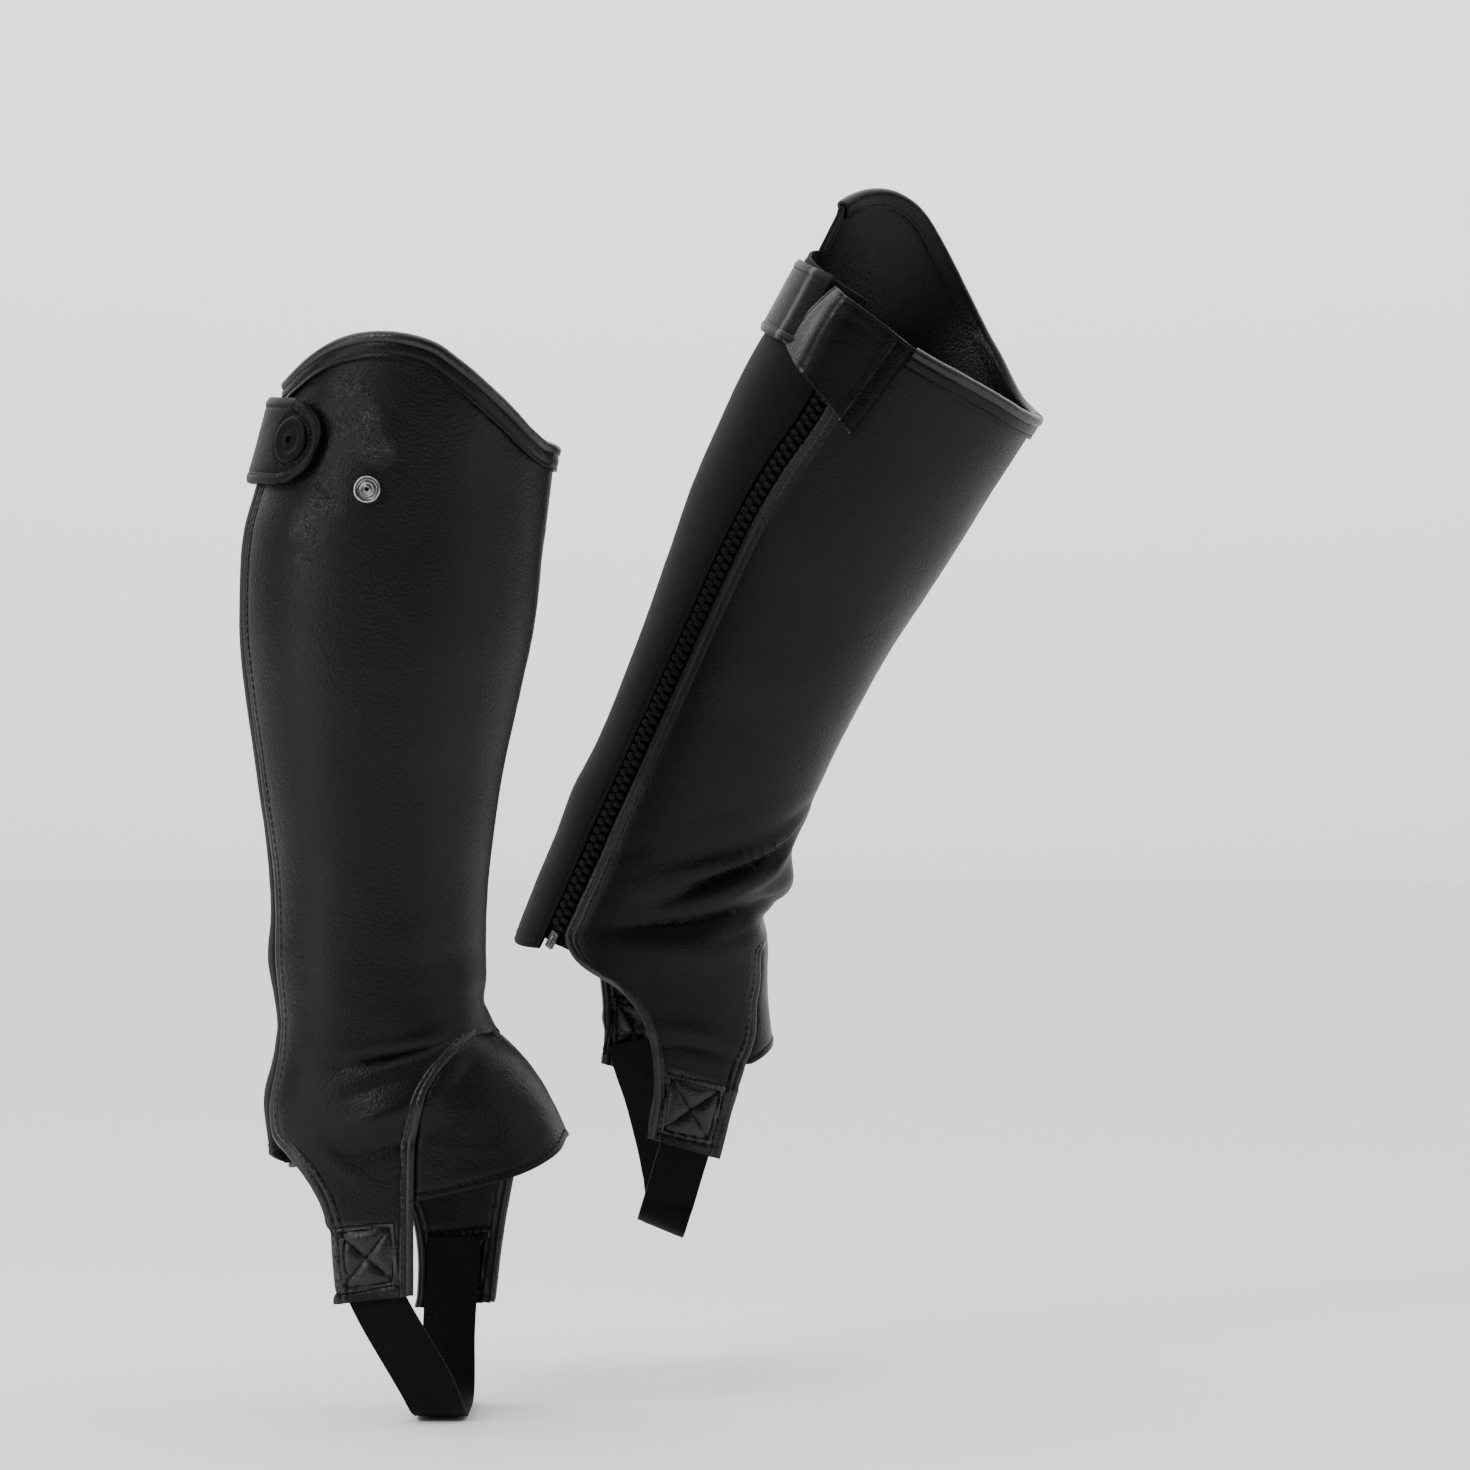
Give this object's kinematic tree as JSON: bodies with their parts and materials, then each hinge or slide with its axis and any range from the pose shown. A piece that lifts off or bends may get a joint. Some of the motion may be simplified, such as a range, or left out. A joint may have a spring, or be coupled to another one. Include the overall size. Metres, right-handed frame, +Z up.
{
  "type": "pair of half chaps",
  "caption": "Black leather half chaps worn over ankle boots: stretch backs, inner zips, strap closures at the top and elastic under the sole; one upright, one leaning forward.",
  "frame": {"origin": "middle of the right chap's top opening, 6 mm below its top edge over the shin, where the wearer's right leg holds it", "axes": "+X the way the toes point, +Y from the right leg to the left leg, +Z up the right leg"},
  "size_m": [0.3389, 0.2941, 0.5206],
  "materials": {
    "black_leather": "satin black full-grain leather with a fine pebble grain",
    "black_leather_trim": "satin black leather, slightly glossier at folded edges",
    "black_stretch": "matt black two-way stretch fabric",
    "black_elastic": "ribbed black woven elastic",
    "black_zip_tape": "black woven tape",
    "black_zip_teeth": "black moulded teeth, satin",
    "dark_nickel": "bright nickel, lightly worn"
  },
  "bodies": {
    "root": {"right_leather_panel": "black_leather", "right_instep_gusset": "black_leather", "right_stretch_panel": "black_stretch", "right_top_binding": "black_leather_trim", "right_strap_flap": "black_leather_trim", "right_closing_strap": "black_leather_trim", "right_snap_cap": "black_leather_trim", "right_zip_tape": "black_zip_tape", "right_zip_chain": "black_zip_teeth", "right_zip_slider": "dark_nickel", "right_zip_retainer": "dark_nickel", "right_panel_stud": "dark_nickel", "right_sole_strap": "black_elastic", "left_leather_panel": "black_leather", "left_instep_gusset": "black_leather", "left_stretch_panel": "black_stretch", "left_top_binding": "black_leather_trim", "left_strap_flap": "black_leather_trim", "left_closing_strap": "black_leather_trim", "left_snap_cap": "black_leather_trim", "left_zip_tape": "black_zip_tape", "left_zip_chain": "black_zip_teeth", "left_zip_slider": "dark_nickel", "left_zip_retainer": "dark_nickel", "left_panel_stud": "dark_nickel", "left_sole_strap": "black_elastic"}
  },
  "joints": []
}
